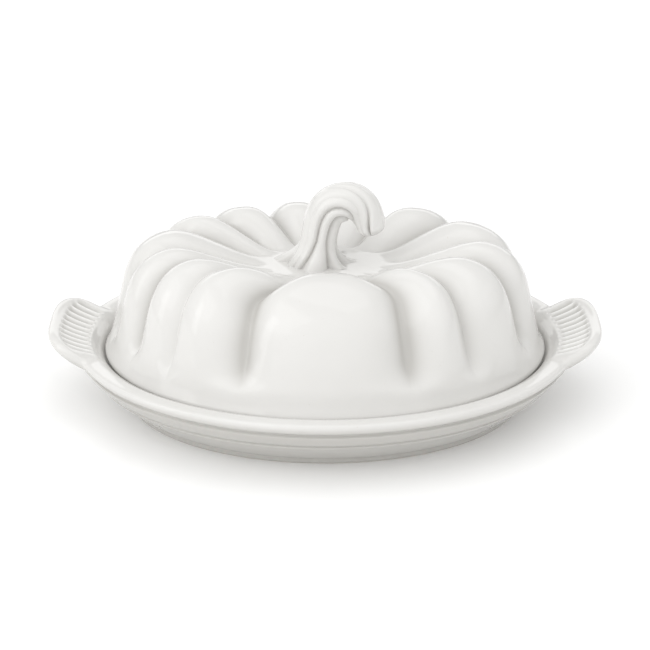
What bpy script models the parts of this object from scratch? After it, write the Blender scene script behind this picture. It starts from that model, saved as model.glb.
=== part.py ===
"""Covered butter dish in glazed stoneware.

An oval dish with a foot ring, a flared wall and a fluted tab handle at each end carries a hollow
pumpkin cover. The cover stands on a ledge inside the dish's rim and lifts straight off by its stem.
The frame is +Z up, +X along the handles, with the origin at the middle of the foot's underside.
"""
import bisect
import math

import bpy
from mathutils import Vector

MM = 0.001
GAP = 0.3                       # space between pieces that rest on or are joined to each other

# Dish: the rim's outer ellipse, and the rings of the section. A ring is given by its distance in
# from that ellipse and its height, then by how much of a handle's reach and lift it takes.
RIM_HALF_LENGTH = 88.0
RIM_HALF_WIDTH = 70.4
RIM_TOP = 23.5
FOOT_RECESS = 2.2
LEDGE_TOP = 18.9
FLOOR_TOP = 7.5

DISH_SECTION = [
    # inset, height, reach, lift
    (24.6, FOOT_RECESS, 0.0, 0.0),          # inside of the foot ring, at the recessed underside
    (23.2, 0.0, 0.0, 0.0),                  # foot ring's flat, inner and outer edge
    (18.2, 0.0, 0.0, 0.0),
    (17.4, 0.7, 0.0, 0.0),
    (17.2, 2.4, 0.0, 0.0),                  # groove above the foot
    (15.7, 3.2, 0.0, 0.0),
    (10.6, 8.3, 0.0, 0.0),                  # flared wall
    (6.3, 12.3, 0.0, 0.0),
    (6.7, 13.0, 0.0, 0.0),                  # lower groove of the wall
    (5.3, 13.5, 0.0, 0.0),
    (1.8, 18.3, 0.08, 0.06),
    (2.3, 19.1, 0.25, 0.18),                # upper groove, which runs out under the handles
    (1.3, 19.6, 0.6, 0.45),                  # underside of the rim and of the handles
    (0.6, 20.1, 0.93, 0.82),
    (0.0, 21.6, 1.0, 0.95),                  # outer edge
    (0.3, 23.0, 0.99, 1.0),
    (1.0, RIM_TOP, 0.95, 1.0),              # crest of the handle's border
    (1.6, RIM_TOP, 0.8, 0.93),
    (2.1, RIM_TOP, 0.72, 0.82),             # fluted panel, from its outer end inwards
    (3.0, RIM_TOP, 0.42, 0.5),
    (4.2, RIM_TOP - 0.1, 0.1, 0.12),
    (5.9, RIM_TOP - 0.2, 0.0, 0.0),         # flat of the rim
    (6.7, RIM_TOP - 0.8, 0.0, 0.0),
    (8.2, LEDGE_TOP, 0.0, 0.0),             # ledge that the cover stands on
    (16.0, LEDGE_TOP, 0.0, 0.0),
    (16.9, 18.0, 0.0, 0.0),
    (20.0, 9.3, 0.0, 0.0),                  # inner wall and floor
    (24.0, FLOOR_TOP, 0.0, 0.0),
]
PANEL_RINGS = {18: 1.0, 19: 0.8, 20: 0.15}  # rings of the fluted panel: share of its full depth

# Handles: a rounded tab outline beyond each end of the rim, tilted up as it goes out.
TAB_ROOT = 84.5                 # from the dish's middle to the line the tab grows from
TAB_REACH = 12.9                # beyond that line
TAB_HALF_WIDTH = 22.7
TAB_SQUARENESS = 3.0
TAB_FILLET = 2.6
TAB_RISE = 0.66                 # lift per mm beyond the rim's ellipse
PANEL_DEPTH = 1.1
FLUTES = 10
FLUTE_PITCH_DEG = 2.36
FLUTE_DEPTH = 0.5
SHOULDER_DEG = [12.6, 13.6, 14.3, 14.9, 15.7, 17.5]     # where the tab's sides meet the rim
RIM_STEPS_DEG = [22, 28, 34, 41, 48, 55, 62, 69, 76, 83, 90]

# Cover: sections from the lip up the outside to the middle of the dished top.
# half length, half width, height, depth of the grooves between the lobes
COVER_LIP = LEDGE_TOP + GAP
COVER_SECTION = [
    (77.6, 59.8, COVER_LIP, 0.0),
    (76.4, 58.6, 22.5, 0.0),
    (75.0, 57.2, 28.0, 0.3),
    (73.6, 55.6, 34.5, 1.4),
    (71.9, 53.6, 42.0, 2.4),
    (69.6, 50.6, 49.5, 3.4),
    (66.2, 45.8, 54.8, 4.2),
    (60.6, 39.4, 58.8, 4.8),
    (52.5, 31.8, 60.4, 5.0),
    (44.0, 26.0, 58.2, 4.4),
    (34.0, 20.4, 54.0, 3.0),
    (26.0, 15.5, 51.6, 1.2),
    (23.0, 13.0, 51.0, 0.0),
]
COVER_WALL = 4.6
COVER_TOP = 51.0                # height of the flat middle that the stem stands on
GROOVES_DEG = [-20, 20, 43, 70, 95, 131.5, 157.7, 180, 200.5, 223, 244, 278, 296, 315]
LOBE_ROUNDNESS = 2.0
LOBE_STEPS = 4

# Stem: centre line (x, y, height) with the radius of the stem there, then the root's fingers.
STEM_FOOT = COVER_TOP + GAP
STEM_LINE = [
    (-4.0, -0.5, STEM_FOOT, 9.0),
    (-3.7, -0.4, 53.4, 8.2),
    (-3.2, -0.3, 56.5, 7.0),
    (-2.4, -0.2, 61.0, 6.3),
    (-1.2, 0.0, 66.0, 6.4),
    (1.0, 0.0, 70.8, 6.6),
    (4.6, 0.0, 73.3, 6.6),
    (9.2, -0.3, 74.0, 6.3),
    (13.2, -0.8, 71.8, 5.8),
    (15.4, -1.4, 68.0, 5.2),
    (16.0, -1.8, 64.2, 4.4),
    (16.1, -1.9, 61.6, 2.6),
]
STEM_SIDES = 18
STEM_RIDGES = 6
RIDGE_HEIGHT = 0.09             # share of the radius
STEM_TWIST_DEG = 50
# reach of the root's fingers beyond the stem's radius, one for each ridge, at the foot
FINGER_REACH = [3.5, 2.0, 6.0, 9.0, 5.0, 2.5]
FINGER_RINGS = [1.0, 0.42, 0.1]

GLAZE_WHITE = (0.86, 0.85, 0.82, 1.0)
STEM_WHITE = (0.85, 0.84, 0.80, 1.0)


def clear_scene():
    """Remove every object of the scene."""
    for obj in list(bpy.data.objects):
        bpy.data.objects.remove(obj, do_unlink=True)


def glaze(name, colour):
    """Glossy white glaze."""
    material = bpy.data.materials.new(name)
    material.use_nodes = True
    shader = material.node_tree.nodes["Principled BSDF"]
    shader.inputs["Base Color"].default_value = colour
    shader.inputs["Roughness"].default_value = 0.12
    shader.inputs["Metallic"].default_value = 0.0
    return material


def loft(name, rings, material, collection):
    """Closed solid through rings of equally many points (mm), each end closed at its middle."""
    columns = len(rings[0])
    points = [point * MM for ring in rings for point in ring]
    first_middle = sum(rings[0], Vector()) / columns
    last_middle = sum(rings[-1], Vector()) / columns
    points += [first_middle * MM, last_middle * MM]
    first_pole = len(points) - 2
    last_pole = len(points) - 1
    faces = []
    for row in range(len(rings) - 1):
        for column in range(columns):
            following = (column + 1) % columns
            low = row * columns
            high = low + columns
            faces.append((low + column, low + following, high + following, high + column))
    last_row = (len(rings) - 1) * columns
    for column in range(columns):
        following = (column + 1) % columns
        faces.append((first_pole, following, column))
        faces.append((last_pole, last_row + column, last_row + following))
    mesh = bpy.data.meshes.new(name)
    mesh.from_pydata([tuple(point) for point in points], [], faces)
    mesh.shade_smooth()
    mesh.set_sharp_from_angle(angle=math.radians(35))
    mesh.materials.append(material)
    obj = bpy.data.objects.new(name, mesh)
    collection.objects.link(obj)
    return obj


# ---- dish ----

def ellipse_radius(half_length, half_width, angle):
    """Distance from the middle to an ellipse in the direction of angle from +X."""
    return 1.0 / math.hypot(math.cos(angle) / half_length, math.sin(angle) / half_width)


def tab_radius(angle):
    """Distance from the dish's middle to the tab's outline, along a ray at angle from its axis."""
    low = 0.0
    high = TAB_ROOT + TAB_REACH + TAB_HALF_WIDTH
    for _ in range(40):
        middle = (low + high) / 2
        along = abs(middle * math.cos(angle) - TAB_ROOT) / TAB_REACH
        across = abs(middle * math.sin(angle)) / TAB_HALF_WIDTH
        outside = along ** TAB_SQUARENESS + across ** TAB_SQUARENESS > 1.0
        if outside and middle > TAB_ROOT:
            high = middle
        elif outside and across > 1.0:
            high = middle
        else:
            low = middle
    return low


def tab_extension(angle):
    """How far the handle reaches beyond the rim's ellipse at angle from +X."""
    from_axis = min(abs(math.atan2(math.sin(angle), math.cos(angle))),
                    abs(math.atan2(math.sin(angle), -math.cos(angle))))
    rim = ellipse_radius(RIM_HALF_LENGTH, RIM_HALF_WIDTH, angle)
    difference = tab_radius(from_axis) - rim
    return (difference + math.hypot(difference, TAB_FILLET)) / 2 if difference > -20 else 0.0


def dish_angles():
    """Directions of the dish's columns: closer together at the flutes and the handles' sides."""
    flutes = [FLUTE_PITCH_DEG * step / 2 for step in range(1, FLUTES + 1)]
    quarter = flutes + SHOULDER_DEG + RIM_STEPS_DEG
    first_half = [0.0] + quarter + [180.0 - angle for angle in reversed(quarter[:-1])]
    degrees = first_half + [180.0 + angle for angle in first_half]
    return [math.radians(angle) for angle in degrees]


def panel_depth(angle):
    """Depth of a handle's fluted panel: shallow at a flute's crest, deep between two flutes."""
    from_axis = math.degrees(abs(math.asin(math.sin(angle))))
    half_panel = FLUTE_PITCH_DEG * FLUTES / 2
    if from_axis > half_panel - 0.01:
        return 0.0
    position = from_axis / FLUTE_PITCH_DEG
    from_crest = abs(position - math.floor(position) - 0.5) * 2
    return PANEL_DEPTH + FLUTE_DEPTH * (from_crest - 0.5)


def dish_rings():
    angles = dish_angles()
    rings = []
    for number, (inset, height, reach, lift) in enumerate(DISH_SECTION):
        ring = []
        for angle in angles:
            extension = tab_extension(angle)
            radius = ellipse_radius(RIM_HALF_LENGTH - inset, RIM_HALF_WIDTH - inset, angle)
            radius += extension * reach
            rise = TAB_RISE * extension * abs(math.cos(angle)) * lift
            rise -= panel_depth(angle) * PANEL_RINGS.get(number, 0.0)
            ring.append(Vector((radius * math.cos(angle), radius * math.sin(angle), height + rise)))
        rings.append(ring)
    return rings


# ---- cover ----

def groove_share(angle_deg):
    """1 in a groove between two lobes, 0 on the crest of a lobe."""
    turned = (angle_deg - GROOVES_DEG[0]) % 360 + GROOVES_DEG[0]
    after = bisect.bisect_right(GROOVES_DEG, turned)
    start = GROOVES_DEG[after - 1]
    end = GROOVES_DEG[after] if after < len(GROOVES_DEG) else GROOVES_DEG[0] + 360
    across = 2 * (turned - start) / (end - start) - 1
    return abs(across) ** LOBE_ROUNDNESS


def cover_angles():
    """Directions of the cover's columns: one in each groove and some on each lobe."""
    ends = GROOVES_DEG[1:] + [GROOVES_DEG[0] + 360]
    return [start + (end - start) * step / LOBE_STEPS
            for start, end in zip(GROOVES_DEG, ends) for step in range(LOBE_STEPS)]


def section_normals():
    """Outward normal (outwards, up) of the cover's section at each of its points."""
    normals = []
    last = len(COVER_SECTION) - 1
    for number in range(last + 1):
        before = COVER_SECTION[max(number - 1, 0)]
        after = COVER_SECTION[min(number + 1, last)]
        along = ((after[0] + after[1]) - (before[0] + before[1])) / 2
        up = after[2] - before[2]
        length = math.hypot(along, up)
        normals.append((up / length, -along / length))
    normals[0] = (1.0, 0.0)
    normals[-1] = (0.0, 1.0)
    return normals


def cover_ring(section, normal, inset):
    """One ring of the cover, set in from its outer surface along the section's normal."""
    half_length, half_width, height, groove = section
    ring = []
    for angle_deg in cover_angles():
        angle = math.radians(angle_deg)
        depth = inset + groove * groove_share(angle_deg)
        ring.append(Vector(((half_length - depth * normal[0]) * math.sin(angle),
                            -(half_width - depth * normal[0]) * math.cos(angle),
                            height - depth * normal[1])))
    return ring


def cover_rings():
    """From the middle of the hollow's roof, down the inside, round the lip and up the outside."""
    normals = section_normals()
    inner = [cover_ring(section, normal, COVER_WALL)
             for section, normal in zip(COVER_SECTION, normals)]
    outer = [cover_ring(section, normal, 0.0)
             for section, normal in zip(COVER_SECTION, normals)]
    return list(reversed(inner)) + outer


# ---- stem ----

def finger_reach(angle):
    """Reach of the root beyond the stem in one direction: a finger below each ridge."""
    position = (angle / (2 * math.pi) * STEM_RIDGES) % STEM_RIDGES
    nearest = round(position) % STEM_RIDGES
    share = math.cos((position - round(position)) * math.pi) ** 2
    return FINGER_REACH[nearest] * share


def stem_rings():
    """Rings square to the centre line, with ridges that twist as they climb."""
    centres = [Vector(row[:3]) for row in STEM_LINE]
    rings = []
    for number, (centre, row) in enumerate(zip(centres, STEM_LINE)):
        before = centres[max(number - 1, 0)]
        after = centres[min(number + 1, len(centres) - 1)]
        tangent = Vector((0, 0, 1)) if number == 0 else (after - before).normalized()
        across = Vector((0, 1, 0)).cross(tangent).normalized()
        forward = tangent.cross(across)
        spread = FINGER_RINGS[number] if number < len(FINGER_RINGS) else 0.0
        twist = math.radians(STEM_TWIST_DEG) * number / (len(STEM_LINE) - 1)
        ring = []
        for side in range(STEM_SIDES):
            angle = 2 * math.pi * side / STEM_SIDES
            radius = row[3] * (1 + RIDGE_HEIGHT * math.cos(STEM_RIDGES * angle))
            radius += finger_reach(angle) * spread
            turned = angle + twist
            ring.append(centre + across * radius * math.cos(turned) + forward * radius * math.sin(turned))
        rings.append(ring)
    return rings


def main():
    clear_scene()
    collection = bpy.data.collections.new("covered_butter_dish")
    bpy.context.scene.collection.children.link(collection)
    loft("dish", dish_rings(), glaze("dish_glaze", GLAZE_WHITE), collection)
    loft("lid", cover_rings(), glaze("lid_glaze", GLAZE_WHITE), collection)
    loft("stem", stem_rings(), glaze("stem_glaze", STEM_WHITE), collection)


main()
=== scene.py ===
"""Looks of the covered butter dish: the glazed dish and its pumpkin cover, built at full detail
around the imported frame, on a pale floor in soft studio light."""
import bisect
import math

import bpy
import numpy as np
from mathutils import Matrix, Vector


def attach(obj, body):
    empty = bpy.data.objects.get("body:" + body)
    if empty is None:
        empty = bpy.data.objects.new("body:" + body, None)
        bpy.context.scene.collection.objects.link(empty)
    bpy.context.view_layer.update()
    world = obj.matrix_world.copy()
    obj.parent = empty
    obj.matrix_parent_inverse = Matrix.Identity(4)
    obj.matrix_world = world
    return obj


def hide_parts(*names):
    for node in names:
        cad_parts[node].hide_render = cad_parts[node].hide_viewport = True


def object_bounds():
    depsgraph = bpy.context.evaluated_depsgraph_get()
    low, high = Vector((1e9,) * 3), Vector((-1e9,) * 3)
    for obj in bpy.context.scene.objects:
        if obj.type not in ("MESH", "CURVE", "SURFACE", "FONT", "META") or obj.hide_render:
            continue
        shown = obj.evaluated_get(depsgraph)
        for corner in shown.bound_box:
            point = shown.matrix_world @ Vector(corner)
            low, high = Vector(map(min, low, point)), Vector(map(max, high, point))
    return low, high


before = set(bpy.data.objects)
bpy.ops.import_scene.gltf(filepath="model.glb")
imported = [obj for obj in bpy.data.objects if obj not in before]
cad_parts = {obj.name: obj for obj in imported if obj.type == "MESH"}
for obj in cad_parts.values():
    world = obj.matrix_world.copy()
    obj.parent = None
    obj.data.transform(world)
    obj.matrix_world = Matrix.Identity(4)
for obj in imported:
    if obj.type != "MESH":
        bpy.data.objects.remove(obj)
CAD_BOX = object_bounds()

MM = 0.001

# Dish: the rim's outer ellipse and the corners of the section. A corner is given by its distance
# in from that ellipse and its height, by its share of a handle's reach and lift, by how much longer
# its own ellipse is, and by how far before and after it the section is rounded. Lengths are in mm.
RIM_HALF_LENGTH = 88.0
RIM_HALF_WIDTH = 70.4
RIM_TOP = 23.5
LEDGE_TOP = 18.9
FLOOR_TOP = 7.5
FOOT_RECESS = 2.2
DISH_SECTION = [
    # inset, height, reach, lift, longer, rounding
    (50.0, FOOT_RECESS, 0.0, 0.0, 0.0, 2.0),
    (24.8, FOOT_RECESS, 0.0, 0.0, 0.0, 0.9),        # inside of the foot ring
    (23.3, 0.0, 0.0, 0.0, 0.0, 0.9),
    (18.1, 0.0, 0.0, 0.0, 0.0, 0.7),
    (17.4, 0.9, 0.0, 0.0, 0.0, 0.5),
    (17.3, 2.4, 0.0, 0.0, 0.0, 0.6),                # groove above the foot
    (15.8, 3.2, 0.0, 0.0, 0.0, 0.8),
    (10.7, 8.2, 0.0, 0.0, 0.0, 3.0),                # flared wall
    (6.3, 12.1, 0.0, 0.0, 0.0, 0.6),
    (6.9, 12.8, 0.0, 0.0, 0.0, 0.4),                # lower groove of the wall
    (5.4, 13.4, 0.0, 0.0, 0.0, 0.6),
    (1.9, 18.0, 0.08, 0.06, 0.0, 0.6),
    (2.8, 18.8, 0.24, 0.17, 0.0, 0.4),              # upper groove, which runs out under the handles
    (1.9, 19.4, 0.58, 0.43, 0.0, 0.5),
    (0.8, 20.4, 0.93, 0.82, 0.0, 0.9),              # outer edge of the rim and the handles
    (0.0, 22.2, 1.0, 0.95, 0.0, 0.9),
    (0.5, 23.3, 0.98, 1.02, 0.0, 0.8),
    (1.4, RIM_TOP, 0.86, 1.02, 0.0, 1.0),           # crest of the handle's border
    (2.1, RIM_TOP, 0.70, 0.82, 0.1, 1.4),
    (3.0, RIM_TOP, 0.42, 0.50, 0.1, 1.4),
    (4.2, RIM_TOP - 0.1, 0.1, 0.26, 0.2, 1.0),
    (5.6, RIM_TOP - 0.3, 0.0, 0.16, 0.3, 1.2),      # flat of the rim
    (6.8, RIM_TOP - 1.0, 0.0, 0.06, 0.3, 1.2),
    (9.3, 20.9, 0.0, 0.0, 0.5, 1.0),                # slope down beside the cover's lip
    (10.7, LEDGE_TOP, 0.0, 0.0, 0.6, 0.8),          # ledge that the cover stands on
    (16.0, LEDGE_TOP, 0.0, 0.0, 0.0, 1.2),
    (17.2, 17.4, 0.0, 0.0, 0.0, 1.6),
    (20.0, 9.6, 0.0, 0.0, 0.0, 2.4),                # inner wall and floor
    (24.5, FLOOR_TOP, 0.0, 0.0, 0.0, 3.0),
    (50.0, FLOOR_TOP, 0.0, 0.0, 0.0, 2.0),
]
SECTION_STEP = 1.2       # longest step along the section
HANDLE_STEP = 0.3        # the same on top of the handles
ARC_STEPS = 4
STRAIGHT_SHARE = 0.48    # most of a straight that the rounding of one corner may take up

# Glaze and painted shade on the dish. It pools darker in the wall's grooves (height, half width), with
# painted shade there too. Painted shade darkens the wall below the rim (span of heights), the slope
# beside the cover's lip, the ledge and the well's side, and less the well's floor (spans of insets).
WALL_GROOVES = [(12.8, 0.5), (18.9, 0.45), (2.5, 0.6)]
GROOVE_POOL_AND_SHADE = 0.5
WALL_SHADE_SPAN = (23.5, 18.5)
LEDGE_SHADE = 0.5
LEDGE_SHADE_SPAN = (5.8, 9.0)
WELL_FLOOR_LESS_SHADE = 0.35
FLOOR_SPAN = (17.0, 26.0)
FOOT_INSETS = (17.7, 23.9)
BARE_SPAN = (0.35, 0.02)        # heights between which the foot ring turns bare

# Handles: a rounded tab beyond each end of the rim, with a fluted panel sunk in its top.
TAB_ROOT = 84.5
TAB_REACH = 12.8
TAB_HALF_WIDTH = 22.7
TAB_SQUARENESS = 2.8
TAB_FILLET = 2.6
TAB_RISE = 0.66
PANEL_DEPTH = 1.0
PANEL_REACH = (0.05, 0.68)      # inner and outer end of the panel, as shares of the tab's reach
PANEL_EDGE = 0.05
SIDE_EDGE_DEG = 0.55
FLUTES = 10
FLUTE_PITCH_DEG = 2.36
FLUTE_DEPTH = 1.8
FLUTE_SHAPE = 0.8        # under 1 makes the ridges sharper than the hollows
COLUMNS_PER_FLUTE = 12
SHOULDER_END_DEG = 20    # columns are closer together from the flutes to here than on the rim
SHOULDER_COLUMNS = 27
RIM_COLUMNS = 49

# Cover: sections from the lip up the outside to the flat that the stem grows from:
# half length, half width, height, depth of the grooves between the lobes.
COVER_LIP = 19.2
FLAT_TOP = 51.2
LIP_ROUNDING = 1.5
LIP_SQUARENESS = 0.6
LIP_RINGS = 10
COVER_SECTION = [
    (77.9, 60.1, COVER_LIP + LIP_ROUNDING, 0.0),
    (76.6, 58.8, 23.0, 0.0),
    (75.6, 57.8, 25.8, 0.0),
    (75.0, 57.2, 28.5, 0.4),
    (74.4, 56.5, 31.0, 1.7),
    (73.6, 55.6, 34.5, 3.1),
    (72.8, 54.7, 38.0, 3.7),
    (71.9, 53.6, 42.0, 4.1),
    (69.6, 50.6, 49.5, 4.8),
    (66.2, 45.8, 54.8, 5.4),
    (60.6, 39.4, 58.8, 5.8),
    (52.5, 31.8, 60.4, 5.7),
    (44.0, 26.0, 58.2, 4.9),
    (34.0, 20.4, 54.3, 3.4),
    (27.0, 16.1, 52.1, 1.6),
    (23.2, 14.4, 51.4, 0.4),
    (20.0, 12.6, FLAT_TOP, 0.0),
]
COVER_WALL = 4.6
OUTER_RINGS = 90
INNER_RINGS = 34
# The grooves between the lobes, from the left side of the front lobe round by +X: where each groove
# is in the wall and on the crest, and its share of the section's groove depth in both places.
GROOVES_DEG = [-22.5, 23, 43, 70.5, 95, 131.5, 157.7, 180, 200.5, 223, 244, 278, 297.5, 315]
CREST_GROOVES_DEG = [-13, 15, 40, 68, 95, 131.5, 157.7, 180, 200.5, 223, 244, 278, 299, 317]
GROOVE_SHARES = [1.3, 1.3, 1.0, 1.25, 1.0, 1.0, 1.0, 1.0, 1.0, 1.0, 1.0, 1.05, 1.15, 0.6]
CREST_GROOVE_SHARES = [1.25, 0.75, 0.8, 1.1, 1.0, 1.0, 1.0, 1.0, 1.0, 1.0, 1.0, 1.0, 0.6, 0.5]
# The lobe after each groove: how flat it is across, and how it leans. A lean under 1 puts its crest
# nearer its first groove.
LOBE_ROUNDNESS = [3.8, 1.8, 2.6, 2.6, 2.6, 2.6, 2.6, 2.6, 2.6, 2.6, 2.6, 2.6, 2.6, 1.7]
LOBE_LEANS = [1.0, 1.25] + [1.0] * 11 + [0.7]
GROOVE_DROP = 3.5        # how much lower the grooves start at the ends than at the front
GROOVE_SOFTNESS = 0.12
GROOVE_TURN = (65.0, 45.0)      # half lengths between which the grooves go from wall to crest places
GROOVE_CHANGE = (73.0, 58.0)    # and from wall to crest shares
COLUMNS_PER_LOBE = 28
COLUMN_CROWDING = 0.8    # how much closer together a lobe's columns are at its grooves

# Glaze and painted light on the cover: how far it pools darker in the grooves and in the creases of
# the stem, with painted shade there too; the painted shade on the flat round the stem (from FLAT_SPAN
# in) and inside; and how far it thins to white on the stem's lower ridges, with a painted highlight
# there.
LOBE_POOL_AND_SHADE = 0.7
FULL_GROOVE = 4.0        # depth of groove in which the pooled glaze and painted shade are darkest
CREASE_POOL_AND_SHADE = 0.45
FULL_CREASE = 1.3        # depth of crease in which the pooled glaze and painted shade are darkest
FLAT_SHADE = 0.2
FLAT_SPAN = (38.0, 26.0)
INSIDE_SHADE = 0.2
RIDGE_THINNING_AND_HIGHLIGHT = 0.4
THINNED_FROM = (FLAT_TOP + 0.5, FLAT_TOP + 6.0)
THINNED_TO = (76.0, 63.0)

# Stem: centre line (x, y, height) with the stem's radius, from the foot to the curled tip.
STEM_LINE = [
    (-4.0, -0.5, FLAT_TOP, 8.0),
    (-3.4, -0.4, 53.4, 7.5),
    (-2.7, -0.3, 56.5, 6.8),
    (-2.0, -0.2, 61.0, 6.4),
    (-1.0, 0.0, 66.0, 6.5),
    (1.0, 0.0, 70.8, 6.8),
    (4.6, 0.0, 73.4, 6.9),
    (9.2, -0.4, 74.1, 6.6),
    (13.2, -1.2, 71.9, 6.0),
    (15.2, -2.2, 68.2, 5.4),
    (15.9, -2.9, 65.4, 4.7),
]
STEM_TWIST_DEG = 98.0
TWIST_SPAN = (0.52, 1.06)       # shares of the line
# Creases round the stem, from the front towards +X: angle at the foot and above the root, depth at
# the foot, at the bend and at the tip.
STEM_CREASES = [
    (-92, -84, 0.15, 0.2, 2.0),
    (-60, -46, 0.15, 0.4, 0.35),
    (-37, -10, 1.6, 1.5, 0.25),
    (48, 28, 1.6, 1.5, 0.4),
    (84, 82, 1.0, 0.8, 0.6),
    (112, 112, 0.9, 0.8, 0.7),
    (150, 152, 0.9, 0.8, 0.7),
    (196, 192, 0.9, 0.6, 0.1),
    (236, 234, 0.7, 0.35, 0.05),
]
# reach of the root's finger below each ridge, in the order of the creases
STEM_FINGERS = [1.2, 0.4, 1.0, 4.0, 7.0, 6.2, 3.2, 3.2, 6.5]
ROOT_FALL = 2.8
CREASE_START = 3.0       # how far up the root the creases reach their full depth
CREASE_PLACES = (0.0, 0.6, 1.0)         # foot, bend and tip, as shares of the line
RIDGE_SHAPE = 2.2
FINGER_SHAPE = 0.8
ROOT_POINTS = 3          # points of the line from the foot to the top of the root
ROOT_RINGS = 30
UPPER_RINGS = 57
BRIDGE_RINGS = 8         # rings on the flat, out to the cover's last ring
CAP_RINGS = 11           # rounded end of the stem
CAP_LENGTH = 0.6         # its length, as a share of the tip's radius


def column(values):
    """Numbers as a column, to multiply rows of points."""
    return np.asarray(values, float)[:, None]


def cubic_through(rows, knots, at):
    """Smooth curve (natural cubic spline) through rows at knots, read at the places in at."""
    rows = np.asarray(rows, float)
    last = len(rows) - 1
    gaps = np.diff(knots)
    system = np.eye(last + 1)
    bends = np.zeros_like(rows)
    for i in range(1, last):
        system[i, i - 1:i + 2] = gaps[i - 1], 2 * (gaps[i - 1] + gaps[i]), gaps[i]
        bends[i] = 6 * ((rows[i + 1] - rows[i]) / gaps[i] - (rows[i] - rows[i - 1]) / gaps[i - 1])
    bends = np.linalg.solve(system, bends)
    index = np.clip(np.searchsorted(knots, at, side="right") - 1, 0, last - 1)
    gap = column(gaps[index])
    after = column(at - knots[index])
    before = gap - after
    curved = (bends[index] * before ** 3 + bends[index + 1] * after ** 3) / (6 * gap)
    first = (rows[index] / gap - bends[index] * gap / 6) * before
    second = (rows[index + 1] / gap - bends[index + 1] * gap / 6) * after
    return curved + first + second


def smooth_step(values, low, high):
    """0 below low, 1 above high, with a soft change between."""
    share = np.clip((np.asarray(values, float) - low) / (high - low), 0.0, 1.0)
    return share * share * (3 - 2 * share)


def grid_mesh(name, rings, marks, body, replaced, material):
    """Closed body through rings of points (mm), each end closed at its middle. marks holds named
    numbers for each point, which the material reads."""
    rings = np.asarray(rings)
    count, columns = rings.shape[:2]
    points = np.concatenate([rings.reshape(-1, 3), rings[:1].mean(axis=1), rings[-1:].mean(axis=1)])
    start = np.arange(count - 1)[:, None] * columns + np.arange(columns)[None, :]
    following = np.arange(count - 1)[:, None] * columns + (np.arange(columns)[None, :] + 1) % columns
    quads = np.stack([start, following, following + columns, start + columns], axis=-1).reshape(-1, 4)
    turn = np.arange(columns)
    after = (turn + 1) % columns
    pole = count * columns
    last = (count - 1) * columns
    faces = quads.tolist()
    faces += [(pole, b, a) for a, b in zip(turn.tolist(), after.tolist())]
    faces += [(pole + 1, last + a, last + b) for a, b in zip(turn.tolist(), after.tolist())]
    mesh = bpy.data.meshes.new(name)
    mesh.from_pydata((points * MM).tolist(), [], faces)
    mesh.shade_smooth()
    for mark, values in marks.items():
        values = np.asarray(values, float)
        ends = [values[0].mean(), values[-1].mean()]
        layer = mesh.attributes.new(mark, "FLOAT", "POINT")
        layer.data.foreach_set("value", np.concatenate([values.reshape(-1), ends]).astype(np.float32))
    mesh.materials.append(material)
    obj = bpy.data.objects.new(name, mesh)
    bpy.context.scene.collection.objects.link(obj)
    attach(obj, body)
    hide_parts(*replaced)


# ---- dish ----

def ellipse_radius(half_length, half_width, angle):
    """Distance from the middle to an ellipse in the direction of angle from +X."""
    return 1.0 / np.hypot(np.cos(angle) / half_length, np.sin(angle) / half_width)


def tab_radius(from_axis):
    """Distance from the dish's middle to the tab's outline, along a ray at from_axis to its axis."""
    low = TAB_ROOT * 0.5
    high = TAB_ROOT + TAB_REACH + TAB_HALF_WIDTH
    for _ in range(40):
        middle = (low + high) / 2
        along = max(middle * math.cos(from_axis) - TAB_ROOT, 0.0) / TAB_REACH
        across = middle * math.sin(from_axis) / TAB_HALF_WIDTH
        if along ** TAB_SQUARENESS + across ** TAB_SQUARENESS > 1.0:
            high = middle
        else:
            low = middle
    return low


def tab_extensions(angles):
    """How far the handles reach beyond the rim's ellipse in each direction."""
    found = []
    for angle in angles:
        from_axis = math.atan2(abs(math.sin(angle)), abs(math.cos(angle)))
        rim = float(ellipse_radius(RIM_HALF_LENGTH, RIM_HALF_WIDTH, angle))
        beyond = tab_radius(from_axis) - rim
        found.append((beyond + math.hypot(beyond, TAB_FILLET)) / 2)
    return np.where(np.array(found) > 0.03, found, 0.0)


def dish_angles():
    """Directions of the dish's columns: close together at the flutes and the handles' sides."""
    half_panel = FLUTE_PITCH_DEG * FLUTES / 2
    flutes = np.linspace(0, half_panel, FLUTES // 2 * COLUMNS_PER_FLUTE + 1)
    shoulder = np.linspace(half_panel, SHOULDER_END_DEG, SHOULDER_COLUMNS + 1)[1:]
    rim = np.linspace(SHOULDER_END_DEG, 90, RIM_COLUMNS + 1)[1:]
    quarter = np.concatenate([flutes, shoulder, rim])
    half = np.concatenate([quarter, 180 - quarter[-2::-1]])
    return np.radians(np.concatenate([half, 180 + half[1:-1]]))


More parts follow.
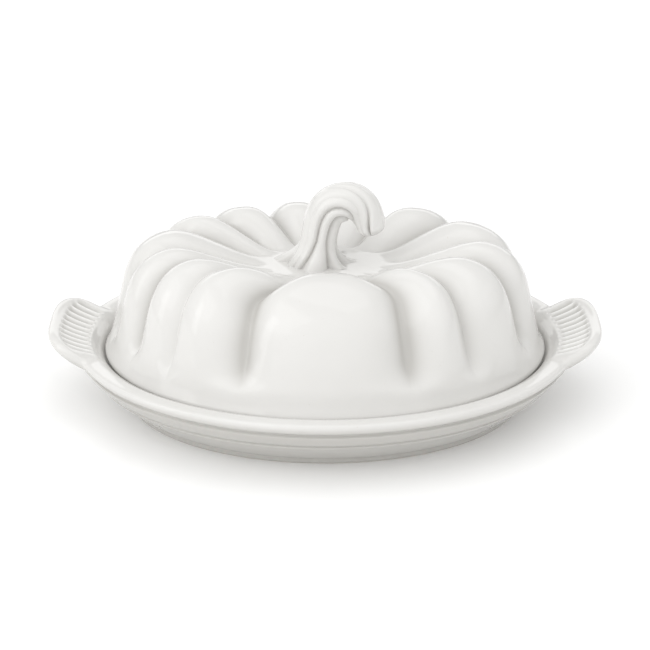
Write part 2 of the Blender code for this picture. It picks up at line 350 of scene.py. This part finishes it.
def rounded_section():
    """The dish's section with every corner rounded: rows of inset, height, reach, lift and
    lengthening."""
    corners = np.array(DISH_SECTION, float)
    reach_length = TAB_ROOT + TAB_REACH - RIM_HALF_LENGTH
    scale = np.array([1.0, 1.0, reach_length, reach_length * TAB_RISE, 1.0])
    rows = [corners[0, :5]]
    for before, corner, after in zip(corners[:-2], corners[1:-1], corners[2:]):
        into = corner[:5] - before[:5]
        out = after[:5] - corner[:5]
        into_length = np.linalg.norm(into[:2])
        out_length = np.linalg.norm(out[:2])
        rounding = min(corner[5], into_length * STRAIGHT_SHARE, out_length * STRAIGHT_SHARE)
        arc_start = corner[:5] - into * rounding / into_length
        arc_end = corner[:5] + out * rounding / out_length
        straight = np.linalg.norm((arc_start - rows[-1]) * scale)
        on_handle = 0.0 < corner[2] + before[2] and corner[1] > RIM_TOP - 0.2
        steps = max(1, int(straight / (HANDLE_STEP if on_handle else SECTION_STEP)))
        previous = rows[-1]
        rows += [previous + (arc_start - previous) * step / steps for step in range(1, steps + 1)]
        for step in range(1, ARC_STEPS + 1):
            share = step / ARC_STEPS
            rows.append(arc_start * (1 - share) ** 2 + corner[:5] * 2 * share * (1 - share)
                        + arc_end * share ** 2)
    rows.append(corners[-1, :5])
    return np.array(rows)


def panel_shape(angles, reach, on_top):
    """The sunk, fluted panel in the top of a handle: 1 within it, and how far down each flute goes,
    from 0 on a ridge to 1 in a hollow."""
    from_axis = np.degrees(np.arctan2(np.abs(np.sin(angles)), np.abs(np.cos(angles))))[None, :]
    half_panel = FLUTE_PITCH_DEG * FLUTES / 2
    across = 1 - smooth_step(from_axis, half_panel - SIDE_EDGE_DEG, half_panel + SIDE_EDGE_DEG)
    low, high = PANEL_REACH
    along = smooth_step(reach, low - PANEL_EDGE, low + PANEL_EDGE * 2)
    along = along * (1 - smooth_step(reach, high - PANEL_EDGE, high + PANEL_EDGE))
    position = from_axis / FLUTE_PITCH_DEG
    wave = (0.5 + 0.5 * np.cos(2 * np.pi * position)) ** FLUTE_SHAPE
    return column(along * on_top) * across, wave


def dish_glaze_and_painted_light(section, outside, panel, wave):
    """How far the glaze pools darker, with painted shade, or under 0 thins to white, with a painted
    highlight, on the dish, and where the clay is bare.
    """
    inset, height = section[:, 0], section[:, 1]
    groove = sum(np.exp(-((height - at) / width) ** 2) for at, width in WALL_GROOVES)
    # painted shade: the wall's grooves darker, partly as pooled glaze, and the whole wall below the
    # rim darker
    wall = GROOVE_POOL_AND_SHADE * groove + smooth_step(height, *WALL_SHADE_SPAN)
    # painted shade on the slope beside the cover, the ledge and the well's side, less on the well's
    # floor
    well_shade = LEDGE_SHADE * smooth_step(inset, *LEDGE_SHADE_SPAN)
    well_shade = well_shade - WELL_FLOOR_LESS_SHADE * smooth_step(inset, *FLOOR_SPAN)
    # the flutes' hollows pool darker with painted shade, their ridges thin lighter with a painted
    # highlight
    pool_and_painted_light = column(np.where(outside, wall, well_shade)) + panel * (wave ** 2 - (1 - wave) ** 3)
    foot = outside & (inset > FOOT_INSETS[0]) & (inset < FOOT_INSETS[1])
    bare = column(np.where(foot, smooth_step(height, *BARE_SPAN), 0.0))
    return {"pool_and_painted_light": np.clip(pool_and_painted_light, -1, 1), "bare": bare * np.ones_like(pool_and_painted_light)}


def make_dish(material):
    section = rounded_section()
    inset, height, reach, lift, longer = section.T
    angles = dish_angles()
    extension = tab_extensions(angles)[None, :]
    direction = np.stack([np.cos(angles), np.sin(angles)], axis=-1)[None]
    half_lengths = column(RIM_HALF_LENGTH - inset + longer)
    radius = ellipse_radius(half_lengths, column(RIM_HALF_WIDTH - inset), angles[None, :])
    radius = radius + extension * column(reach)
    outside = np.arange(len(section)) < np.argmax(height + lift)
    panel, wave = panel_shape(angles, reach, ~outside)
    depth = panel * (PANEL_DEPTH + FLUTE_DEPTH * (wave - 0.5))
    rise = TAB_RISE * extension * np.abs(np.cos(angles))[None, :] * column(lift)
    up = column(height) + rise - depth
    rings = np.concatenate([direction * radius[..., None], up[..., None]], axis=-1)
    marks = dish_glaze_and_painted_light(section, outside, panel, wave)
    grid_mesh("butter_dish", rings, marks, "dish", ["dish"], material)


# ---- cover ----

def lobe_columns():
    """The lobe of each of the cover's columns, and its place across that lobe from 0 to 1. Columns
    are closer together at the grooves."""
    step = np.arange(COLUMNS_PER_LOBE) / COLUMNS_PER_LOBE
    across = step - COLUMN_CROWDING * np.sin(2 * np.pi * step) / (2 * np.pi)
    lobes = np.repeat(np.arange(len(GROOVES_DEG)), COLUMNS_PER_LOBE)
    return lobes, np.tile(across, len(GROOVES_DEG))


def lobe_shares(groove_shares):
    """The share of its groove in a groove between two lobes, falling to 0 on the crest of a lobe."""
    lobes, across = lobe_columns()
    leaning = across ** np.array(LOBE_LEANS)[lobes]
    above = 1 - np.abs(2 * leaning - 1) ** np.array(LOBE_ROUNDNESS)[lobes]
    softened = np.hypot(above, GROOVE_SOFTNESS) - GROOVE_SOFTNESS
    softened = softened / (math.hypot(1, GROOVE_SOFTNESS) - GROOVE_SOFTNESS)
    depths = np.array(groove_shares + groove_shares[:1])
    return (1 - softened) * (depths[lobes] * (1 - across) + depths[lobes + 1] * across)


def cover_angles(crest_share):
    """Directions of the cover's columns in degrees, one row for each of its rings. The grooves run
    from their places in the wall to their places on the crest."""
    lobes, across = lobe_columns()
    wall = np.array(GROOVES_DEG + [GROOVES_DEG[0] + 360], float)
    crest = np.array(CREST_GROOVES_DEG + [CREST_GROOVES_DEG[0] + 360], float)
    grooves = wall[None, :] * (1 - column(crest_share)) + crest[None, :] * column(crest_share)
    return grooves[:, lobes] + (grooves[:, lobes + 1] - grooves[:, lobes]) * across[None, :]


def cover_section(rings):
    """The cover's section with its outward normals (outwards, up), at evenly spaced places."""
    rows = np.array(COVER_SECTION, float)
    along = (rows[:, 0] + rows[:, 1]) / 2
    knots = np.concatenate([[0], np.cumsum(np.hypot(np.diff(along), np.diff(rows[:, 2])))])
    at = np.linspace(0, knots[-1], rings)
    section = cubic_through(rows, knots, at)
    section[:, 3] = np.clip(section[:, 3], 0, None)
    slope = np.gradient(section, at, axis=0)
    outwards = (slope[:, 0] + slope[:, 1]) / 2
    length = np.hypot(outwards, slope[:, 2])
    normals = np.stack([slope[:, 2] / length, -outwards / length], axis=-1)
    return section, normals


def cover_shell(section, normals, inset):
    """Rings of the cover, set in from its outer surface."""
    half_length = section[:, 0]
    turn = np.radians(cover_angles(smooth_step(half_length, *GROOVE_TURN)))
    grooves = column(section[:, 3]) * np.ones_like(turn)
    wall = slice(0, int(np.argmax(section[:, 2])) + 1)
    lowered = column(section[wall, 2]) + GROOVE_DROP * np.sin(turn[wall]) ** 2
    grooves[wall] = np.interp(lowered, section[wall, 2], section[wall, 3])
    change = column(smooth_step(half_length, *GROOVE_CHANGE))
    shares = lobe_shares(GROOVE_SHARES) * (1 - change) + lobe_shares(CREST_GROOVE_SHARES) * change
    depth = inset + grooves * shares
    x = (column(half_length) - depth * column(normals[:, 0])) * np.sin(turn)
    y = -(column(section[:, 1]) - depth * column(normals[:, 0])) * np.cos(turn)
    z = column(section[:, 2]) - depth * column(normals[:, 1])
    return np.stack([x, y, z], axis=-1)


def lip_rings(outer, inner):
    """Rounded lip from the innermost to the outermost ring, below both."""
    middle = (outer + inner) / 2
    rings = []
    for angle in np.linspace(math.pi, 0, LIP_RINGS + 2)[1:-1]:
        out = math.copysign(abs(math.cos(angle)) ** LIP_SQUARENESS, math.cos(angle))
        ring = middle + (outer - inner) / 2 * out
        ring[:, 2] = middle[:, 2] + (COVER_LIP - middle[:, 2]) * math.sin(angle) ** LIP_SQUARENESS
        rings.append(ring)
    return np.array(rings)


def ridge_places(angles_deg):
    """For each direction round the stem's foot: the ridge it is on, and its place across it from 0
    to 1."""
    creases = [row[0] for row in STEM_CREASES]
    ridges, across = [], []
    for angle in angles_deg:
        turned = (angle - creases[0]) % 360 + creases[0]
        ridge = bisect.bisect_right(creases, turned) - 1
        end = creases[ridge + 1] if ridge + 1 < len(creases) else creases[0] + 360
        ridges.append(ridge)
        across.append((turned - creases[ridge]) / (end - creases[ridge]))
    return np.array(ridges), np.array(across)


def across_ridges(values, ridges, across, soft):
    """Values given at the creases, read at places across the ridges."""
    first = np.array(values, float)[ridges]
    second = np.array(values, float)[(ridges + 1) % len(values)]
    share = across * across * (3 - 2 * across) if soft else across
    return first * (1 - share) + second * share


def stem_frame(tangent, upright):
    """Directions across the stem, towards its inner side and towards the front. The lowest rings
    lie level."""
    tangent = tangent * (1 - upright) + np.array([0.0, 0.0, 1.0]) * upright
    tangent = tangent / np.linalg.norm(tangent)
    facing = np.array([0.0, -1.0, 0.0])
    facing = facing - tangent * facing.dot(tangent)
    facing = facing / np.linalg.norm(facing)
    return np.cross(tangent, facing), facing


def stem_line():
    """Places along the stem, the length of its root, its centre line with the radius, and the
    line's directions."""
    rows = np.array(STEM_LINE, float)
    knots = np.concatenate([[0], np.cumsum(np.linalg.norm(np.diff(rows[:, :3], axis=0), axis=1))])
    root = knots[ROOT_POINTS]
    on_root = np.linspace(0, 1, ROOT_RINGS) ** 1.5 * root
    at = np.concatenate([on_root, np.linspace(root, knots[-1], UPPER_RINGS + 1)[1:]])
    line = cubic_through(rows, knots, at)
    tangents = np.gradient(line[:, :3], at, axis=0)
    tangents /= np.linalg.norm(tangents, axis=1, keepdims=True)
    return at, root, line, tangents


def stem_cap(tip, tangent, hollow):
    """Rounded end beyond the stem's last ring: its rings, and how deep each point lies in a crease."""
    middle = tip.mean(axis=0)
    rings, hollows = [], []
    for angle in np.linspace(0, math.pi / 2, CAP_RINGS + 1)[1:]:
        centre = middle + tangent * STEM_LINE[-1][3] * CAP_LENGTH * math.sin(angle)
        rings.append(centre + (tip - middle) * max(math.cos(angle), 0.02))
        hollows.append(hollow * math.cos(angle))
    return rings, hollows


def stem_rings(angles_deg, flat_ring):
    """From the flat on top of the cover, over the root's fingers, up the stem and round its tip:
    the rings, and how deep each point lies in a crease."""
    at, root, line, tangents = stem_line()
    ridges, across = ridge_places(angles_deg)
    foot_angle, bend_angle, *crease_depths = zip(*STEM_CREASES)
    turning = across_ridges(np.subtract(bend_angle, foot_angle), ridges, across, False)
    depths = [across_ridges(values, ridges, across, True) for values in crease_depths]
    arc = 1 - np.abs(2 * across - 1) ** RIDGE_SHAPE
    reach = np.array(STEM_FINGERS)[ridges] * arc ** FINGER_SHAPE
    rings, hollows = [], []
    for place, row, tangent in zip(at, line, tangents):
        share = place / at[-1]
        up_root = min(place / root, 1.0)
        inner, facing = stem_frame(tangent, 1 - up_root)
        depth = np.array([np.interp(share, CREASE_PLACES, steps) for steps in zip(*depths)])
        depth = depth * (1 - arc)
        hollows.append(depth * min(place / CREASE_START, 1.0))
        radius = row[3] - depth + reach * (1 - up_root) ** ROOT_FALL
        twist = STEM_TWIST_DEG * smooth_step(share, *TWIST_SPAN)
        angle = np.radians(angles_deg + turning * up_root + twist)
        inwards = column(radius * np.sin(angle)) * inner
        rings.append(row[:3] + inwards + column(radius * np.cos(angle)) * facing)
    cap, cap_hollows = stem_cap(rings[-1], tangents[-1], hollows[-1])
    steps = np.linspace(0, 1, BRIDGE_RINGS + 2)[1:-1]
    bridge = [flat_ring * (1 - step) + rings[0] * step for step in steps]
    bridge_hollows = np.zeros((len(bridge), len(angles_deg)))
    return np.concatenate([bridge, rings, cap]), np.concatenate([bridge_hollows, hollows, cap_hollows])


def cover_glaze_and_painted_light(section, stem_heights, hollows):
    """How far the glaze pools darker, with painted shade, or under 0 thins to white, with a painted
    highlight, on the outside of the cover and the stem.
    """
    in_groove = column(np.clip(section[:, 3] / FULL_GROOVE, 0, 1))
    # grooves between the lobes darker: pooled glaze and painted shade
    outside = in_groove * LOBE_POOL_AND_SHADE * lobe_shares(GROOVE_SHARES)[None, :] ** 3
    # painted shade on the flat round the stem
    outside = outside + FLAT_SHADE * column(smooth_step(section[:, 0], *FLAT_SPAN))
    crease = np.clip(hollows / FULL_CREASE, 0, 1)
    risen = smooth_step(stem_heights, *THINNED_FROM)
    # painted highlight, with thinned glaze, on the stem's lower ridges
    thinned_and_lit = risen * smooth_step(stem_heights, *THINNED_TO) * (1 - crease)
    # painted shade in the stem's creases (with pooled glaze) and at its root, and a painted highlight
    # where the lower ridges thin to white
    stem = CREASE_POOL_AND_SHADE * crease ** 2 + FLAT_SHADE * (1 - risen) - RIDGE_THINNING_AND_HIGHLIGHT * thinned_and_lit
    return np.concatenate([outside, stem])


def make_cover(material):
    section, normals = cover_section(OUTER_RINGS)
    outer = cover_shell(section, normals, 0.0)
    inner = cover_shell(*cover_section(INNER_RINGS), COVER_WALL)
    lip = lip_rings(outer[0], inner[0])
    angles_deg = cover_angles([1.0])[0]
    stem, hollows = stem_rings(angles_deg, outer[-1])
    rings = np.concatenate([inner[::-1], lip, outer, stem])
    # painted shade over the inside of the cover and its lip
    inside_shade = np.full((len(inner) + len(lip), len(angles_deg)), INSIDE_SHADE)
    pool_and_painted_light = np.concatenate([inside_shade, cover_glaze_and_painted_light(section, stem[:, :, 2], hollows)])
    marks = {"pool_and_painted_light": np.clip(pool_and_painted_light, -1, 1), "bare": np.zeros_like(pool_and_painted_light)}
    grid_mesh("pumpkin_cover", rings, marks, "lid", ["lid", "stem"], material)


# ---- material ----

GLAZE = (0.735, 0.727, 0.708)
CLOUDED_GLAZE = (0.705, 0.697, 0.676)
# dark colour for pooled glaze and for painted shade in hollows, recesses and on the dish's wall
POOLED_AND_SHADED_GLAZE = (0.50, 0.488, 0.462)
POOLED_AND_SHADED_SHARE = 0.9
# near-white colour for glaze thinned on ridges and for a painted highlight on them
THIN_GLAZE_AND_HIGHLIGHT = (0.93, 0.925, 0.91)
IRON_SPECK = (0.52, 0.46, 0.38)
DARK_CLAY = (0.66, 0.60, 0.52)
LIGHT_CLAY = (0.78, 0.73, 0.65)

def add_node(tree, kind, **values):
    node = tree.nodes.new(kind)
    for key, value in values.items():
        setattr(node, key, value)
    return node


def noise(tree, coordinates, scale, detail=3.0, roughness=0.5):
    node = add_node(tree, "ShaderNodeTexNoise")
    node.inputs["Scale"].default_value = scale
    node.inputs["Detail"].default_value = detail
    node.inputs["Roughness"].default_value = roughness
    tree.links.new(coordinates, node.inputs["Vector"])
    return node.outputs["Fac"]


def map_range(tree, value, low, high, to_low, to_high):
    node = add_node(tree, "ShaderNodeMapRange")
    node.inputs["From Min"].default_value = low
    node.inputs["From Max"].default_value = high
    node.inputs["To Min"].default_value = to_low
    node.inputs["To Max"].default_value = to_high
    tree.links.new(value, node.inputs["Value"])
    return node.outputs["Result"]


def mix_colour(tree, share, first, second):
    """Mix of two colours; each is a value or a socket."""
    node = add_node(tree, "ShaderNodeMix", data_type="RGBA")
    tree.links.new(share, node.inputs["Factor"])
    for name, colour in (("A", first), ("B", second)):
        socket = [s for s in node.inputs if s.name == name and s.type == "RGBA"][0]
        if isinstance(colour, tuple):
            socket.default_value = (*colour, 1.0)
        else:
            tree.links.new(colour, socket)
    return [s for s in node.outputs if s.type == "RGBA"][0]


def arithmetic(tree, operation, first, second):
    node = add_node(tree, "ShaderNodeMath", operation=operation)
    for socket, value in zip(node.inputs, (first, second)):
        if isinstance(value, float):
            socket.default_value = value
        else:
            tree.links.new(value, socket)
    return node.outputs["Value"]


def glaze_material():
    """Glossy white glaze that pools darker in hollows, with painted shade laid into that darker colour
    in hollows, recesses and on the dish's wall, and thins to white on sharp ridges, with a painted
    highlight there;
    with fine specks and a soft orange peel; the foot ring is bare stoneware."""
    material = bpy.data.materials.new("white_glaze_on_stoneware")
    material.use_nodes = True
    tree = material.node_tree
    shader = tree.nodes["Principled BSDF"]
    place = add_node(tree, "ShaderNodeTexCoord").outputs["Object"]
    pool_and_painted_light = add_node(tree, "ShaderNodeAttribute", attribute_name="pool_and_painted_light").outputs["Fac"]
    bare = add_node(tree, "ShaderNodeAttribute", attribute_name="bare").outputs["Fac"]

    clouds = map_range(tree, noise(tree, place, 26, 4), 0.3, 0.7, 0.0, 1.0)
    colour = mix_colour(tree, clouds, GLAZE, CLOUDED_GLAZE)
    # darker where the glaze pools and where shade is painted in
    pooled_and_shaded = map_range(tree, pool_and_painted_light, 0.0, 1.0, 0.0, POOLED_AND_SHADED_SHARE)
    colour = mix_colour(tree, pooled_and_shaded, colour, POOLED_AND_SHADED_GLAZE)
    # lighter where the glaze thins on ridges and where a highlight is painted on them
    thin_and_highlight = map_range(tree, pool_and_painted_light, -1.0, 0.0, 1.0, 0.0)
    colour = mix_colour(tree, thin_and_highlight, colour, THIN_GLAZE_AND_HIGHLIGHT)
    specks = map_range(tree, noise(tree, place, 1100, 2), 0.735, 0.80, 0.0, 0.35)
    colour = mix_colour(tree, specks, colour, IRON_SPECK)
    grain = map_range(tree, noise(tree, place, 2200, 4), 0.35, 0.65, 0.0, 1.0)
    clay = mix_colour(tree, grain, DARK_CLAY, LIGHT_CLAY)
    colour = mix_colour(tree, bare, colour, clay)
    tree.links.new(colour, shader.inputs["Base Color"])

    rough = map_range(tree, noise(tree, place, 90, 3), 0.3, 0.7, 0.035, 0.085)
    bare_rough = arithmetic(tree, "MULTIPLY", bare, 0.65)
    tree.links.new(arithmetic(tree, "ADD", rough, bare_rough), shader.inputs["Roughness"])

    swell = arithmetic(tree, "MULTIPLY", noise(tree, place, 55, 2), 0.8)
    peel = arithmetic(tree, "MULTIPLY", noise(tree, place, 420, 2), 0.08)
    grit = arithmetic(tree, "MULTIPLY", noise(tree, place, 2600, 3), bare)
    grit = arithmetic(tree, "MULTIPLY", grit, 0.6)
    surface = arithmetic(tree, "ADD", arithmetic(tree, "ADD", swell, peel), grit)
    bump = add_node(tree, "ShaderNodeBump")
    bump.inputs["Strength"].default_value = 0.5
    bump.inputs["Distance"].default_value = 0.0004
    tree.links.new(surface, bump.inputs["Height"])
    tree.links.new(bump.outputs["Normal"], shader.inputs["Normal"])
    shader.inputs["IOR"].default_value = 1.5
    return material


# ---- stage ----

CAMERA_PLACE = (0.0, -0.6276, 0.3189)
CAMERA_TILT_DEG = 65.06
CAMERA_LENS = 108.2
FLOOR_HALF_SIZE = 9.0
FLOOR_GLOW = 0.03
LIGHTS_AIM = (0.0, 0.0, 0.04)
SOFTBOXES = [
    # name, place, power, width, height
    ("key_softbox", (-0.9, -0.6, 1.1), 3.4, 1.6, 1.2),
    ("left_softbox", (-1.2, -0.5, 0.6), 1.7, 0.5, 1.1),
    ("top_softbox", (0.1, 0.1, 1.4), 1.9, 1.3, 0.8),
    ("back_softbox", (0.0, 1.4, 0.55), 3.2, 2.2, 0.4),
    ("right_softbox", (1.4, -0.2, 0.7), 1.0, 1.0, 1.0),
]
ROOM_LIGHT = 0.3
ROOM_GLOWS = [((0.0, 0.0, 1.0), 0.62), ((-1.0, 0.0, 0.0), 0.25), ((1.0, 0.0, 0.0), 0.1),
              ((0.0, -1.0, 0.0), 0.6)]


def floor_material():
    material = bpy.data.materials.new("pale_floor")
    material.use_nodes = True
    tree = material.node_tree
    shader = tree.nodes["Principled BSDF"]
    place = add_node(tree, "ShaderNodeTexCoord").outputs["Object"]
    clouds = noise(tree, place, 3, 3)
    colour = mix_colour(tree, clouds, (0.96, 0.96, 0.958), (0.975, 0.975, 0.97))
    tree.links.new(colour, shader.inputs["Base Color"])
    shader.inputs["Roughness"].default_value = 0.6
    shader.inputs["Specular IOR Level"].default_value = 0.2
    shader.inputs["Emission Color"].default_value = (1.0, 1.0, 1.0, 1.0)
    shader.inputs["Emission Strength"].default_value = FLOOR_GLOW
    return material


def make_stage():
    mesh = bpy.data.meshes.new("studio_floor")
    half = FLOOR_HALF_SIZE
    low = CAD_BOX[0][2]
    mesh.from_pydata([(-half, -half, low), (half, -half, low), (half, half, low), (-half, half, low)],
                     [], [(0, 1, 2, 3)])
    floor = bpy.data.objects.new("studio_floor", mesh)
    mesh.materials.append(floor_material())
    bpy.context.scene.collection.objects.link(floor)


def area_light(name, place, power, width, height):
    """A softbox at place, facing the object."""
    light = bpy.data.lights.new(name, "AREA")
    light.shape = "RECTANGLE"
    light.size = width
    light.size_y = height
    light.energy = power
    obj = bpy.data.objects.new(name, light)
    obj.location = place
    obj.rotation_euler = (Vector(LIGHTS_AIM) - Vector(place)).to_track_quat("-Z", "Y").to_euler()
    bpy.context.scene.collection.objects.link(obj)


def soft_world():
    """An even white room, brighter on the sides named in ROOM_GLOWS."""
    world = bpy.data.worlds.new("studio")
    world.use_nodes = True
    tree = world.node_tree
    direction = add_node(tree, "ShaderNodeTexCoord").outputs["Generated"]
    strength = ROOM_LIGHT
    for side, glow in ROOM_GLOWS:
        facing = add_node(tree, "ShaderNodeVectorMath", operation="DOT_PRODUCT")
        facing.inputs[1].default_value = side
        tree.links.new(direction, facing.inputs[0])
        towards = arithmetic(tree, "MAXIMUM", facing.outputs["Value"], 0.0)
        strength = arithmetic(tree, "ADD", arithmetic(tree, "MULTIPLY", towards, glow), strength)
    background = tree.nodes["Background"]
    background.inputs["Color"].default_value = (1.0, 1.0, 1.0, 1.0)
    tree.links.new(strength, background.inputs["Strength"])
    return world


def make_lights_and_camera():
    scene = bpy.context.scene
    scene.world = soft_world()
    for softbox in SOFTBOXES:
        area_light(*softbox)
    camera = bpy.data.cameras.new("camera")
    camera.lens = CAMERA_LENS
    camera.sensor_width = 36.0
    camera.clip_start = 0.02
    obj = bpy.data.objects.new("camera", camera)
    obj.location = CAMERA_PLACE
    obj.rotation_euler = (math.radians(CAMERA_TILT_DEG), 0.0, 0.0)
    scene.collection.objects.link(obj)
    scene.camera = obj
    scene.view_settings.view_transform = "Standard"


glaze = glaze_material()
make_dish(glaze)
make_cover(glaze)
make_stage()
make_lights_and_camera()
